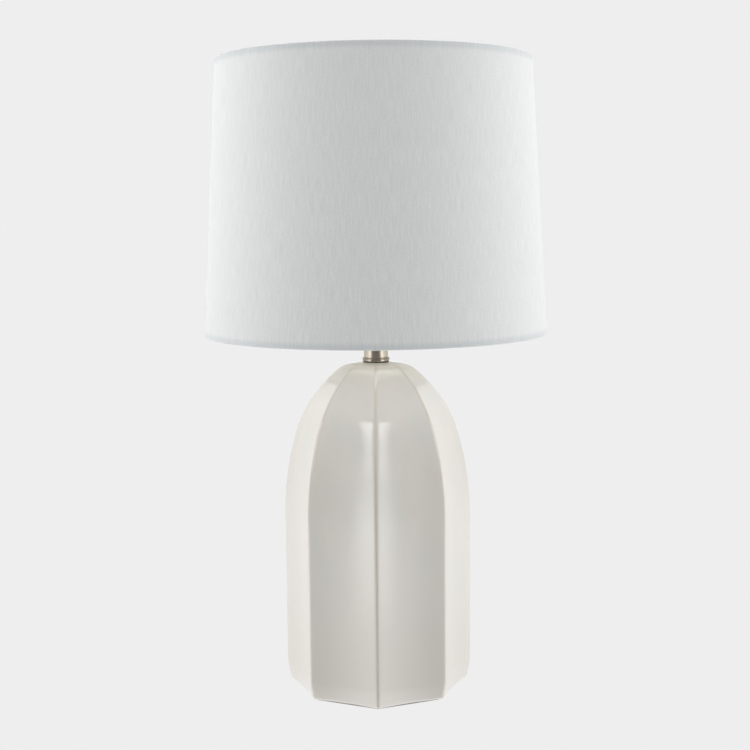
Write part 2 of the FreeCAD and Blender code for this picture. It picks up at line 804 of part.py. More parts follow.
def make_shade():
    """Spider, rings, stiff liner, fabric and the hems that cover both rims."""
    turned("spider_hub", ring_section("stud_radius + turn_gap", "hub_radius", "hub_low", "hub_top"))
    for number in range(SPIDER_ARMS):
        label = f"spider_arm_{number + 1}"
        body = new_body(label)
        end = shade_radius("top_ring_level", "ring_inset + ring_wire_radius + fit_gap")
        route = draw(new_sketch(body, "route"), [
            ("hub_radius + fit_gap", "arm_level"),
            ("spider_inner", "arm_level", "spider_bend"),
            ("spider_outer", "top_ring_level", "spider_bend"),
            (end, "top_ring_level"),
        ], closed=False)
        section = new_sketch(body, "section", "YZ_Plane", "hub_radius + fit_gap")
        draw_circle(section, "arm_radius", 0, "arm_level")
        sweep(body, section, route)
        way = 90 + 360 / SPIDER_ARMS * number
        body.Placement = FreeCAD.Placement(Vector(), Rotation(Vector(0, 0, 1), way))
        finish(body, label)
    wire_ring("shade_top_ring", "top_ring_level")
    wire_ring("shade_bottom_ring", "bottom_ring_level")
    low = "shade_low + hem_lip"
    high = "shade_top - hem_lip"
    turned("shade_liner", cone_section(low, high, "skin_thickness", "fabric_thickness"))
    turned("shade_fabric", cone_section(low, high, "fabric_thickness", 0))
    top = new_body("shade_top_hem")
    revolve(top, draw(new_sketch(top, "section"), hem("shade_top", "-1")))
    notch = draw_circle(new_sketch(top, "arm_notch", "YZ_Plane"), "arm_radius + turn_gap",
                        0, "top_ring_level")
    first = cut(top, notch, shade_radius("top_ring_level", "ring_inset"), back=True)
    doc.recompute()
    notches = top.newObject("PartDesign::PolarPattern", "notches")
    notches.Originals = [first]
    notches.Axis = (plane(top, "Z_Axis"), [""])
    notches.Angle = 360
    notches.Occurrences = SPIDER_ARMS
    top.Tip = notches
    top.Placement = FreeCAD.Placement(Vector(), Rotation(Vector(0, 0, 1), 90))
    finish(top, "shade_top_hem")
    turned("shade_bottom_hem", hem("shade_low", "1"))


def make_finial():
    """Turned knob over a threaded brass insert, which holds the spider down on the harp."""
    turned("finial_insert", ring_section("stud_radius + fit_gap", "insert_radius", "finial_low",
                                         "finial_low + insert_height"))
    neck = "finial_low + finial_base_height"
    ball = f"{neck} + finial_neck_height"
    roof = "max(finial_low + insert_height + turn_gap; stud_top + stud_head_room)"
    turned("finial_knob", [
        ("insert_radius + fit_gap", "finial_low"),
        ("finial_base_radius", "finial_low", "finial_base_edge"),
        ("finial_base_radius", neck, "finial_base_edge"),
        ("finial_neck_radius", neck),
        ("finial_neck_radius", ball),
        ("finial_ball_radius", ball, "finial_ball_edge"),
        ("finial_ball_radius", "finial_top", "finial_crown_edge"),
        (0, "finial_top"),
        (0, roof),
        ("insert_radius + fit_gap", roof),
    ])


def side_port(body, radius, reach):
    """Cut a round port for the switch key through the front wall of a holder part."""
    port = draw_circle(new_sketch(body, "key_port"), radius, 0, "switch_level")
    return cut(body, port, reach, back=True)


def make_holder():
    """Screw lampholder: cap, shell, paper liner, moulded core, screw shell and contacts."""
    hex_nut("saddle_lock_nut", "saddle_top", "lock_nut_height")
    cap = new_body("holder_cap")
    revolve(cap, draw(new_sketch(cap, "section"), [
        ("rod_clear", "lock_top"),
        ("holder_hub_radius", "lock_top"),
        ("holder_hub_radius", "holder_flare", "holder_hub_edge"),
        ("holder_rim_radius", "holder_rim", "holder_shoulder_edge"),
        ("holder_rim_radius", "holder_top"),
        ("holder_rim_radius - holder_wall", "holder_top"),
        ("holder_rim_radius - holder_wall", "holder_rim + holder_wall / 2", "holder_hub_edge"),
        ("holder_hub_radius", "holder_flare + holder_wall"),
        ("rod_clear", "holder_flare + holder_wall"),
    ]))
    screw_level = "lock_top + holder_hub_height / 2"
    hole = draw_circle(new_sketch(cap, "set_screw_hole"), "set_screw_radius + fit_gap",
                       0, screw_level)
    cut(cap, hole, "holder_hub_radius * 2")
    finish(cap, "holder_cap")
    screw = cylinder("set_screw_radius", "holder_hub_radius - rod_radius - fit_gap", "set_screw")
    place(screw, y="rod_radius + fit_gap", z=screw_level, turn=Rotation(Vector(1, 0, 0), -90))
    finish(screw, "holder_set_screw")

    for label, radius, wall, low, height in (
        ("holder_shell", "shell_radius", "shell_wall", "shell_low", "shell_height"),
        ("holder_paper_liner", "sleeve_liner_radius", "sleeve_liner_wall",
         "shell_low + holder_wall", "sleeve_liner_height"),
    ):
        body = new_body(label)
        wall_section = ring_section(f"{radius} - {wall}", radius, low, f"{low} + {height}")
        revolve(body, draw(new_sketch(body, "section"), wall_section))
        side_port(body, "key_port_radius", "shell_radius * 2")
        finish(body, label)

    core = new_body("holder_core")
    revolve(core, draw(new_sketch(core, "section"), [
        (0, "core_low"),
        ("core_radius", "core_low", "core_edge"),
        ("core_radius", "core_top"),
        (0, "core_top"),
    ]))
    flats = new_sketch(core, "terminal_flats", "XY_Plane")
    for way in ("", "-"):
        draw(flats, ring_section(f"{way}core_flat", f"{way}core_radius * 2", "-core_radius",
                                 "core_radius"))
    cut(core, flats)
    sink = "rotor_face - rotor_length - turn_gap"
    well = new_sketch(core, "rotor_well", "XZ_Plane", sink)
    draw_circle(well, "rotor_radius + turn_gap", 0, "switch_level")
    cut(core, well, "core_radius", back=True)
    holes = new_sketch(core, "terminal_holes", "YZ_Plane")
    draw_circle(holes, "terminal_shank_radius + fit_gap", "terminal_head_radius", "switch_level")
    cut(core, holes)
    finish(core, "holder_core")

    shell = "screw_shell_radius - screw_shell_wall"
    floor = "core_top + screw_shell_wall"
    turned("holder_screw_shell", [
        ("contact_hole_radius", "core_top"),
        ("screw_shell_radius", "core_top", "screw_shell_edge"),
        ("screw_shell_radius", "core_top + screw_shell_height"),
        (shell, "core_top + screw_shell_height"),
        (shell, floor, "screw_shell_edge / 2"),
        ("contact_hole_radius", floor),
    ])
    contact = new_body("holder_centre_contact")
    rise = "core_top + contact_rise"
    profile = draw(new_sketch(contact, "strip"), [
        ("-contact_half", "core_top"),
        ("contact_half", "core_top"),
        ("contact_half", "core_top + contact_strip"),
        ("-contact_half + contact_strip * 2", "core_top + contact_strip"),
        ("-contact_half / 2 + contact_strip", rise),
        ("contact_half / 2", rise),
        ("contact_half / 2", f"{rise} + contact_strip"),
        ("-contact_half / 2", f"{rise} + contact_strip"),
        ("-contact_half", "core_top + contact_strip"),
    ])
    leaf = contact.newObject("PartDesign::Pad", "leaf")
    leaf.Profile = profile
    leaf.Midplane = True
    bind(leaf, Length="contact_width")
    finish(contact, "holder_centre_contact")

    for label, way in (("terminal_screw_left", "-"), ("terminal_screw_right", "")):
        screw = turned(label, [
            (0, "-terminal_shank_length"),
            ("terminal_shank_radius", "-terminal_shank_length"),
            ("terminal_shank_radius", 0),
            ("terminal_head_radius", 0),
            ("terminal_head_radius", "terminal_head_height", "terminal_head_height / 2"),
            (0, "terminal_head_height"),
        ])
        quarter = -90 if way else 90
        place(screw, x=f"{way}core_flat", y="terminal_head_radius", z="switch_level",
              turn=Rotation(Vector(0, 1, 0), quarter))


FRONT_TURN = Rotation(Vector(1, 0, 0), 90)


def make_switch():
    """Rotor, key and thumb knob of the turn switch, on one axis to the front."""
    front = dict(z="switch_level", turn=FRONT_TURN)
    back_face = "rotor_face - rotor_length"
    rotor = turned("switch_rotor", [
        (0, back_face),
        ("rotor_radius", back_face, "rotor_edge"),
        ("rotor_radius", "rotor_face", "rotor_edge"),
        ("key_radius + fit_gap", "rotor_face"),
        ("key_radius + fit_gap", "rotor_face - key_socket"),
        (0, "rotor_face - key_socket"),
    ])
    place(rotor, **front)
    place(cylinder_part("switch_key", "key_radius", "key_end - rotor_face + key_socket"),
          y="-(rotor_face - key_socket)", **front)
    knob_end = "knob_face + knob_length"
    knob = turned("switch_knob", [
        ("key_radius + fit_gap", "knob_face"),
        ("knob_neck_radius", "knob_face"),
        ("knob_neck_radius", "knob_face + knob_neck_length"),
        ("knob_radius", "knob_face + knob_neck_length", "knob_edge"),
        ("knob_radius", knob_end, "knob_end_edge"),
        (0, knob_end),
        (0, "key_end"),
        ("key_radius + fit_gap", "key_end"),
    ])
    place(knob, **front)


def cylinder_part(label, radius, height):
    return finish(cylinder(radius, height, label), label)


def make_bulb():
    """Screw-base lamp bulb: contact, insulator, screw shell, housing, board and globe."""
    tip_top = "bulb_low + bulb_tip_height"
    turned("bulb_tip_contact", [
        (0, "bulb_low"),
        ("bulb_tip_radius", "bulb_low", "bulb_tip_edge"),
        ("bulb_tip_radius", tip_top),
        (0, tip_top),
    ])
    turned("bulb_insulator", [
        (0, tip_top),
        ("bulb_tip_radius + fit_gap", tip_top),
        ("bulb_insulator_radius", "shell_foot"),
        (0, "shell_foot"),
    ])
    inner = "bulb_shell_radius - bulb_shell_wall"
    foot = "shell_foot + turn_gap"
    heel = f"{foot} + bulb_shell_radius - bulb_insulator_radius"
    turned("bulb_screw_shell", [
        ("bulb_insulator_radius - bulb_shell_wall", foot),
        ("bulb_insulator_radius", foot),
        ("bulb_shell_radius", heel, "bulb_shell_edge"),
        ("bulb_shell_radius", "shell_mouth"),
        (inner, "shell_mouth"),
        (inner, heel, "bulb_shell_edge"),
    ])
    low = "shell_mouth + turn_gap"
    spigot = f"{inner} - slide_gap"
    rim_inner = "housing_rim_radius - housing_wall"
    turned("bulb_housing", [
        (f"{spigot} - housing_wall", f"{low} - spigot_height"),
        (spigot, f"{low} - spigot_height"),
        (spigot, low),
        ("housing_neck_radius", low),
        ("housing_neck_radius", f"{low} + housing_neck_height", "housing_curve_radius"),
        ("housing_rim_radius", "housing_top - housing_rim_height", "housing_curve_radius"),
        ("housing_rim_radius", "housing_top"),
        (rim_inner, "housing_top"),
        (rim_inner, "housing_top - housing_rim_height", "housing_curve_radius"),
        ("housing_neck_radius - housing_wall", f"{low} + housing_neck_height",
         "housing_curve_radius"),
        (f"{spigot} - housing_wall", low),
    ])
    board_low = "housing_top - led_board_thickness"
    turned("bulb_led_board", ring_section(0, f"{rim_inner} - fit_gap", board_low, "housing_top"))
    seat = "housing_top + fit_gap"
    shoulder = f"{seat} + globe_shoulder_height"
    turned("bulb_globe", [
        ("housing_rim_radius - globe_wall", seat),
        ("housing_rim_radius", seat),
        ("bulb_radius", shoulder, "globe_shoulder_radius"),
        ("bulb_radius", "bulb_top", "globe_crown_radius"),
        (0, "bulb_top"),
        (0, "bulb_top - globe_wall"),
        ("bulb_radius - globe_wall", "bulb_top - globe_wall", "globe_crown_radius - globe_wall"),
        ("bulb_radius - globe_wall", shoulder, "globe_shoulder_radius"),
    ])


def check_and_write():
    """Stop on any object that failed, then write every sub-part to its own file."""
    doc.recompute()
    for thing in doc.Objects:
        if {"Invalid", "Error"} & set(thing.State):
            raise RuntimeError(f"{thing.Label} ({thing.Name}) failed: {thing.State}")
    os.makedirs("parts", exist_ok=True)
    for part in PARTS:
        shape = part.Shape
        if shape.isNull() or not shape.isValid() or not shape.Solids:
            raise RuntimeError(f"{part.Label} has no valid solid")
        shape.exportStep(os.path.join("parts", part.Label + ".step"))
        print(f"{part.Label}: {len(shape.Solids)} solid(s), {shape.Volume:.1f} mm3")


make_foot()
make_rod()
make_neck()
make_saddle()
make_harp()
make_shade()
make_finial()
make_holder()
make_switch()
make_bulb()
check_and_write()
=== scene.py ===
"""Dresses the column table lamp: a glazed fluted column, a nickel neck and a linen shade.

Metres, +Z up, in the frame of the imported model. The front is -Y.
"""
import contextlib
import json
import math

import bmesh
import bpy
from bpy.props import FloatProperty, FloatVectorProperty, IntProperty, PointerProperty
from mathutils import Matrix, Vector


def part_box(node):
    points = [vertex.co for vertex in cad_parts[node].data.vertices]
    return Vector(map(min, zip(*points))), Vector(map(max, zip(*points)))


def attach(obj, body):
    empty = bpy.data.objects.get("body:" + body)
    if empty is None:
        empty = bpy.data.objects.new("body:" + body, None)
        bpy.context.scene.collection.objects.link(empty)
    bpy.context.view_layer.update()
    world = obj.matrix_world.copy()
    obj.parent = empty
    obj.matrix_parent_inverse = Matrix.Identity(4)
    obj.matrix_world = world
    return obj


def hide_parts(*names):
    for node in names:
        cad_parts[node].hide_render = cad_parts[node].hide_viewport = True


bl_info = {
    "name": "Column Table Lamp",
    "version": (1, 0, 0),
    "blender": (4, 5, 0),
    "location": "3D View > Sidebar > Table Lamp",
    "description": "Models and finishes a glazed column table lamp round its packed frame",
    "category": "Object",
}

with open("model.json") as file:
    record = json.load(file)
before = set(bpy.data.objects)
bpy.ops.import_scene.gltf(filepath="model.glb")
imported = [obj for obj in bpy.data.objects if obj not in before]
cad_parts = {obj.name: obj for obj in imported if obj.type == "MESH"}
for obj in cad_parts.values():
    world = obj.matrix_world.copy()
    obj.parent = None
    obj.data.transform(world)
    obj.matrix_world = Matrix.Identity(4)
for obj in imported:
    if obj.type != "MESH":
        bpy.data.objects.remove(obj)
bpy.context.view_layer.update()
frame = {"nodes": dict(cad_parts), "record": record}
MM = 0.001
FULL_TURN = 2 * math.pi
FLUTES = 8
HALF_FLUTE = math.pi / FLUTES


def extent(node):
    """The reach of a turned node from its own upright axis, its foot and its top."""
    low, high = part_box(node)
    return (high.x - low.x) / 2, low.z, high.z


COLUMN_FOOT, COLUMN_TOP = extent("ceramic_body")[1:]
SHADE_MOUTH, SHADE_FOOT, SHADE_TOP = extent("shade_fabric")
HEM_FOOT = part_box("shade_bottom_hem")[0].z
HEM_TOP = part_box("shade_top_hem")[1].z
SHADE_CROWN = max(v.co.x for v in frame["nodes"]["shade_fabric"].data.vertices
                  if v.co.z > SHADE_TOP - MM)


def colour(name, about, value):
    return FloatVectorProperty(name=name, description=about, default=value, size=3, min=0, max=1,
                               subtype="COLOR")


def length(name, about, value):
    return FloatProperty(name=name, description=about, default=value, min=0, unit="LENGTH",
                         precision=5)


def extents(name, about, value):
    return FloatVectorProperty(name=name, description=about, default=value, size=2, min=0,
                               unit="LENGTH")


def angle(name, about, degrees):
    return FloatProperty(name=name, description=about, default=math.radians(degrees),
                         subtype="ANGLE", unit="ROTATION")


def share(name, about, value):
    return FloatProperty(name=name, description=about, default=value, min=0, max=1,
                         subtype="FACTOR")


def shares(name, about, value):
    return FloatVectorProperty(name=name, description=about, default=value, size=3, min=0, max=1)


def number(name, about, value):
    return FloatProperty(name=name, description=about, default=value, min=0)


class ColumnSettings(bpy.types.PropertyGroup):
    """Sizes and glazes of the column"""

    flat: length("Flat radius", "From the axis to the middle of a flute", 89 * MM)
    hollow: length("Flute radius", "Curve of a flute across the column", 288 * MM)
    wall: length("Wall", "Thickness of the ceramic", 6 * MM)
    recess: length("Recess radius", "From the axis to the side of the foot recess", 78 * MM)
    floor: length("Floor", "Height of the raised floor", 34 * MM)
    floor_depth: length("Floor depth", "Thickness of the raised floor", 6.5 * MM)
    hole: length("Rod hole", "Radius of the hole for the rod", 5.5 * MM)
    softness: length("Ridge softness", "How far the glaze rounds a ridge", 1.1 * MM)
    thinning: length("Thinning", "How far from a ridge the glaze runs thin", 1.5 * MM)
    # Painted shade: how far up from the foot the glaze is painted darker.
    foot_shade_reach: length("Foot reach", "How far up the column the darker glaze goes", 150 * MM)
    columns: IntProperty(name="Columns", description="Faces round the column", default=320, min=64)
    crowding: share("Crowding", "How far the faces crowd towards the ridges", 0.72)
    glaze: colour("Glaze", "Where the glaze is thick", (0.634, 0.605, 0.563))
    cool_glaze: colour("Cool glaze", "Clouds in the glaze", (0.60, 0.593, 0.555))
    rosy_glaze: colour("Rosy glaze", "Faint streaks where the body shows", (0.65, 0.592, 0.555))
    thin_glaze: colour("Thin glaze", "Where the glaze runs thin on a ridge", (0.56, 0.515, 0.45))
    # A yellower glaze near the neck, fading out further from the axis.
    crown_glaze: colour("Pooled glaze", "Where it gathers at the crown", (0.63, 0.60, 0.50))
    # Painted shade: the darker glaze colour at the foot.
    foot_shade_glaze: colour("Foot glaze", "Where the glaze runs to the foot", (0.59, 0.562, 0.522))
    gloss: share("Roughness", "Roughness of the glaze", 0.05)


class ShadeSettings(bpy.types.PropertyGroup):
    """Sizes and cloth of the shade"""

    cloth: length("Cloth", "Thickness of the cloth", 0.45 * MM)
    hem: length("Hem", "Depth of the turned hem", 6 * MM)
    roll: length("Roll", "How far a hem rolls inwards", 5.1 * MM)
    columns: IntProperty(name="Columns", description="Faces round the shade", default=256, min=64)
    lap: length("Lap", "Width of the lapped seam at the back", 9 * MM)
    linen: colour("Linen", "Colour of the cloth", (0.62, 0.635, 0.628))
    # Painted shade: the hem band is darker for the light that the doubled cloth keeps from shining
    # through.
    hem_shade_linen: colour("Hem", "Colour where the cloth is doubled", (0.53, 0.555, 0.562))
    thread: length("Thread pitch", "Spacing of the upright threads", 1.1 * MM)
    # How far in from each edge the painted hem shade reaches.
    hem_shade_depth: length("Hem depth", "How far up a hem shows through the cloth", 6 * MM)
    # Partly painted shade: besides the weave's own tone, shade between the threads is painted
    # darker.
    contrast: share("Thread contrast", "Tone between the threads against on them", 0.9)


class MetalSettings(bpy.types.PropertyGroup):
    """Colours of the bare and plated metals"""

    nickel: colour("Nickel", "Brushed nickel plate", (0.44, 0.395, 0.325))
    steel: colour("Steel", "Zinc plated steel", (0.62, 0.62, 0.60))
    brass: colour("Brass", "Plain brass", (0.80, 0.60, 0.28))


class StageSettings(bpy.types.PropertyGroup):
    """Camera, backdrop and lights"""

    distance: length("Distance", "From the lamp's axis to the camera", 1.383)
    height: length("Height", "Camera above the floor", 0.504)
    azimuth: angle("Azimuth", "Camera round the lamp, towards +X", 0.83)
    yaw: angle("Yaw", "Camera turned past the lamp's axis", 0.052)
    tilt: angle("Tilt", "Camera tilted down", 7.08)
    roll: angle("Roll", "Camera rolled", -0.56)
    lens: number("Lens", "Focal length in millimetres", 63.43)
    paper: colour("Paper", "Backdrop and floor", (0.855, 0.855, 0.855))
    floor_drop: length("Floor drop", "How far the floor lies under the felt", 0.3 * MM)
    light_distance: length("Light distance", "From the lamp's axis to the side lights", 1.6)
    box_side: angle("Softbox side", "Middle of a softbox, round from the camera", 73)
    box_level: length("Softbox level", "Middle of a softbox above the floor", 0.86)
    box_size: extents("Softbox size", "Width and height of a softbox", (1.15, 1.05))
    box_core: shares("Softbox core", "Full strength: in from a side, from the foot, to the top",
                     (0.38, 0.35, 0.65))
    box_glow: number("Softbox glow", "Brightness of a softbox", 4.85)
    strip_side: angle("Strip side", "Middle of a strip light, round from the camera", 56.5)
    strip_level: length("Strip level", "Middle of a strip light above the floor", 0.69)
    strip_size: extents("Strip size", "Width and height of a strip light", (0.36, 1.35))
    strip_core: shares("Strip core", "Full strength: in from a side, from the foot, to the top",
                       (0.3, 0.6, 0.95))
    strip_glow: number("Strip glow", "Brightness of a strip light", 5.0)
    strip_lean: angle("Strip lean", "Top of a strip light leaned away from the camera", 4.5)


def fresh(add, name, **options):
    """Add a primitive with nothing else selected, and name it."""
    bpy.ops.object.select_all(action="DESELECT")
    add(**options)
    piece = bpy.context.object
    piece.name = name
    piece.data.name = name
    return piece


@contextlib.contextmanager
def editing(piece):
    """Edit one piece with its whole mesh selected."""
    bpy.ops.object.select_all(action="DESELECT")
    bpy.context.view_layer.objects.active = piece
    piece.select_set(True)
    bpy.ops.object.mode_set(mode="EDIT")
    bpy.ops.mesh.select_all(action="SELECT")
    yield
    bpy.ops.object.mode_set(mode="OBJECT")


def smooth(piece, sharp=35):
    """Smooth the faces, with edges sharper than an angle kept crisp."""
    bpy.ops.object.select_all(action="DESELECT")
    bpy.context.view_layer.objects.active = piece
    piece.select_set(True)
    bpy.ops.object.shade_smooth_by_angle(angle=math.radians(sharp))
    return piece


def outline(corners, reach, least):
    """A closed run of points through corners (across, up, rounding), each rounding as an arc.

    An arc's steps are no longer than the reach, and no fewer than the least.
    """
    places = [Vector(corner[:2]) for corner in corners]
    points = []
    for index, here in enumerate(places):
        rounding = corners[index][2] if len(corners[index]) > 2 else 0
        if not rounding:
            points.append(here)
            continue
        back = (places[index - 1] - here).normalized()
        ahead = (places[(index + 1) % len(places)] - here).normalized()
        half = back.angle(ahead) / 2
        centre = here + (back + ahead).normalized() * rounding / math.sin(half)
        start = here + back * rounding / math.tan(half) - centre
        sweep = start.angle_signed(here + ahead * rounding / math.tan(half) - centre)
        steps = max(least, math.ceil(abs(sweep) * rounding / reach))
        for step in range(steps + 1):
            spoke = start.copy()
            spoke.rotate(Matrix.Rotation(-sweep * step / steps, 2))
            points.append(centre + spoke)
    return points


def turned(name, corners, steps=96, reach=4 * MM, least=4):
    """Turn a closed outline round the upright axis. It starts at the back, where seams lie."""
    points = outline(corners, reach, least)
    piece = fresh(bpy.ops.mesh.primitive_circle_add, name, vertices=len(points), radius=MM)
    for vertex, point in zip(piece.data.vertices, points):
        vertex.co = (0, point.x, point.y)
    with editing(piece):
        bpy.ops.mesh.spin(steps=steps, angle=FULL_TURN, center=(0, 0, 0), axis=(0, 0, 1))
        bpy.ops.mesh.select_all(action="SELECT")
        bpy.ops.mesh.remove_doubles(threshold=0.001 * MM)
        bpy.ops.mesh.delete_loose(use_verts=True, use_edges=True)
        bpy.ops.mesh.select_all(action="SELECT")
        bpy.ops.mesh.normals_make_consistent(inside=False)
        # That leaves a thin cone inside out, which its volume tells.
        if bmesh.from_edit_mesh(piece.data).calc_volume(signed=True) < 0:
            bpy.ops.mesh.flip_normals()
    return smooth(piece)


def levels(low, high, rows):
    """Evenly spaced levels from one height to another."""
    return [low + (high - low) * row / rows for row in range(rows + 1)]


def dress(piece, material):
    """Give a piece one material."""
    piece.data.materials.clear()
    piece.data.materials.append(material)
    return piece


def settle(piece, material, slot, body, *nodes):
    """Finish a piece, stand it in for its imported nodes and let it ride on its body."""
    dress(piece, material)
    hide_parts(*nodes)
    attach(piece, body)


def twin(piece, name, shift):
    """A copy with its own mesh, moved across."""
    other = piece.copy()
    other.data = piece.data.copy()
    other.name = other.data.name = name
    bpy.context.collection.objects.link(other)
    for vertex in other.data.vertices:
        vertex.co.x += shift
    return other


def unroll(piece):
    """Give a turned piece a UV map in metres: round from the back, and up."""
    mesh = piece.data
    layer = mesh.uv_layers.active
    layer.name = "unrolled"
    for face in mesh.polygons:
        middle = math.atan2(-face.center.x, face.center.y)
        for loop in face.loop_indices:
            place = mesh.vertices[mesh.loops[loop].vertex_index].co
            way = math.atan2(-place.x, place.y)
            if way - middle > math.pi:
                way -= FULL_TURN
            elif middle - way > math.pi:
                way += FULL_TURN
            layer.data[loop].uv = (way * SHADE_MOUTH, place.z)


def smoothstep(value, low, high):
    """Ease from 0 to 1 between two values."""
    part = min(1, max(0, (value - low) / (high - low)))
    return part * part * (3 - 2 * part)


class Nodes:
    """A node tree under construction."""

    def __init__(self, tree):
        self.tree = tree

    def set(self, node, socket, value):
        """Link a socket, or give it a value."""
        if isinstance(value, bpy.types.NodeSocket):
            self.tree.links.new(value, node.inputs[socket])
        elif node.inputs[socket].type == "RGBA":
            node.inputs[socket].default_value = (*value, 1)
        else:
            node.inputs[socket].default_value = value

    def add(self, kind, sockets=None, **settings):
        """Add a node, its settings first because some of them bring sockets with them."""
        node = self.tree.nodes.new("ShaderNode" + kind)
        for name, value in settings.items():
            setattr(node, name, value)
        for socket, value in (sockets or {}).items():
            self.set(node, socket, value)
        return node

    def math(self, operation, first, second=0.0):
        """Work out one value from two, plain or linked."""
        return self.add("Math", {0: first, 1: second}, operation=operation).outputs[0]

    def ramp(self, value, low, high, to_low=0.0, to_high=1.0):
        """A smooth step from one value to another."""
        sockets = {"Value": value, "From Min": low, "From Max": high, "To Min": to_low,
                   "To Max": to_high}
        return self.add("MapRange", sockets, interpolation_type="SMOOTHSTEP").outputs["Result"]


class Finish(Nodes):
    """A material under construction: its nodes round one Principled shader."""

    def __init__(self, name, **sockets):
        self.material = bpy.data.materials.new(name)
        self.material.use_nodes = True
        super().__init__(self.material.node_tree)
        self.shader = self.tree.nodes["Principled BSDF"]
        for socket, value in sockets.items():
            self.set(self.shader, socket.replace("_", " "), value)

    def place(self, scale=(1, 1, 1), source="Object"):
        """Object or UV coordinates, stretched."""
        where = self.add("TexCoord").outputs[source]
        return self.add("Mapping", {"Vector": where, "Scale": scale}).outputs["Vector"]

    def noise(self, where, scale=1.0, detail=2.0, roughness=0.5):
        """Soft noise from 0 to 1."""
        sockets = {"Vector": where, "Scale": scale, "Detail": detail, "Roughness": roughness}
        return self.add("TexNoise", sockets).outputs["Fac"]

    def height(self):
        """Height above the surface that the lamp stands on."""
        return self.add("SeparateXYZ", {0: self.place()}).outputs["Z"]

    def mark(self, name):
        """A value stored on the points of a piece."""
        return self.add("Attribute", attribute_name=name).outputs["Fac"]

    def blend(self, factor, first, second):
        """Mix two colours. Sockets 6 and 7 of the node, and 2 of its results, are the colours."""
        return self.add("Mix", {0: factor, 6: first, 7: second}, data_type="RGBA").outputs[2]

    def bump(self, height, depth, strength):
        """Raise the surface by a height from 0 to 1 that stands for a depth in metres."""
        sockets = {"Height": height, "Distance": depth, "Strength": strength}
        self.set(self.shader, "Normal", self.add("Bump", sockets).outputs["Normal"])


def shaded(tone, level):
    """A colour brought down to a share of its own brightness."""
    return [part * level for part in tone]


def glaze(settings):
    """Gloss glaze: cloudy, streaked, warm on the ridges and the crown, with painted shade at the
    foot.
    """
    finish = Finish("glaze", Roughness=settings.gloss, IOR=1.5)
    clouds = finish.noise(finish.place((1, 1, 0.4)), scale=19, detail=4, roughness=0.6)
    streaks = finish.noise(finish.place((1, 1, 0.08)), scale=120, detail=3, roughness=0.6)
    tone = settings.glaze
    for where, other in (
        (finish.ramp(clouds, 0.38, 0.62), settings.cool_glaze),
        (finish.ramp(streaks, 0.45, 0.75, 0, 0.45), settings.rosy_glaze),
        (finish.mark("crown"), settings.crown_glaze),
        # Painted shade: the glaze darkens towards the foot.
        (finish.ramp(finish.height(), 20 * MM, settings.foot_shade_reach, 1, 0), settings.foot_shade_glaze),
        (finish.mark("ridge"), settings.thin_glaze),
    ):
        tone = finish.blend(where, tone, other)
    finish.set(finish.shader, "Base Color", tone)
    finish.bump(finish.noise(finish.place(), scale=70), depth=0.05 * MM, strength=0.3)
    return finish.material


def linen(settings):
    """Linen-look cloth: slubbed threads with painted shade between them and a painted shade band
    at each hem.
    """
    finish = Finish("linen", Roughness=0.9, Sheen_Weight=0.1)
    height = finish.height()
    from_foot = finish.math("SUBTRACT", height, HEM_FOOT)
    from_top = finish.math("SUBTRACT", HEM_TOP, height)
    from_edge = finish.math("MINIMUM", from_foot, from_top)
    # Painted shade: a darker, cooler band along each hem, where the doubled cloth lets less light
    # through.
    hem = finish.ramp(from_edge, settings.hem_shade_depth * 0.5, settings.hem_shade_depth * 1.4, 1, 0)
    threads, slubs, crossings = 1 / settings.thread, 48, 600  # in each metre
    warp = finish.noise(finish.place((threads, slubs, 1), "UV"), detail=2, roughness=0.6)
    weft = finish.noise(finish.place((crossings, threads, 1), "UV"), detail=1)
    weave = finish.math("ADD", finish.math("MULTIPLY", warp, 0.55),
                        finish.math("MULTIPLY", weft, 0.45))
    on_thread = finish.blend(hem, settings.linen, settings.hem_shade_linen)
    between = finish.blend(hem, shaded(settings.linen, settings.contrast),
                           shaded(settings.hem_shade_linen, settings.contrast))
    # Partly painted shade: the weave's own tone, with shade between the threads painted in.
    thread_shade = finish.ramp(weave, 0.37, 0.63, 1, 0)
    finish.set(finish.shader, "Base Color", finish.blend(thread_shade, on_thread, between))
    finish.bump(weave, depth=0.3 * MM, strength=0.6)
    return finish.material


def brushed(name, tone, roughness=0.33):
    """Metal with fine brush lines that run round its own axis."""
    finish = Finish(name, Metallic=1.0, Base_Color=tone)
    run, pitch = 12, 2600
    lines = finish.noise(finish.place((run, run, pitch)))
    finish.set(finish.shader, "Roughness",
               finish.ramp(lines, 0.3, 0.7, roughness * 0.8, roughness * 1.25))
    finish.bump(lines, depth=0.002 * MM, strength=0.2)
    return finish.material


def plain(name, tone, roughness, metallic=0.0, grain=200, depth=0.02 * MM, patch=0.06, **sockets):
    """A surface with a fine grain and faint patches of tone."""
    finish = Finish(name, Metallic=metallic, **sockets)
    clouds = finish.noise(finish.place(), scale=grain, detail=4)
    patches = finish.ramp(clouds, 0.3, 0.7)
    finish.set(finish.shader, "Base Color", finish.blend(patches, tone, shaded(tone, 1 - patch)))
    finish.set(finish.shader, "Roughness",
               finish.ramp(clouds, 0.3, 0.7, roughness, min(1.0, roughness * 1.15)))
    finish.bump(clouds, depth, strength=0.5)
    return finish.material


class LampPiece:
    """What every maker of a piece shares."""

    bl_options = {"REGISTER", "UNDO"}


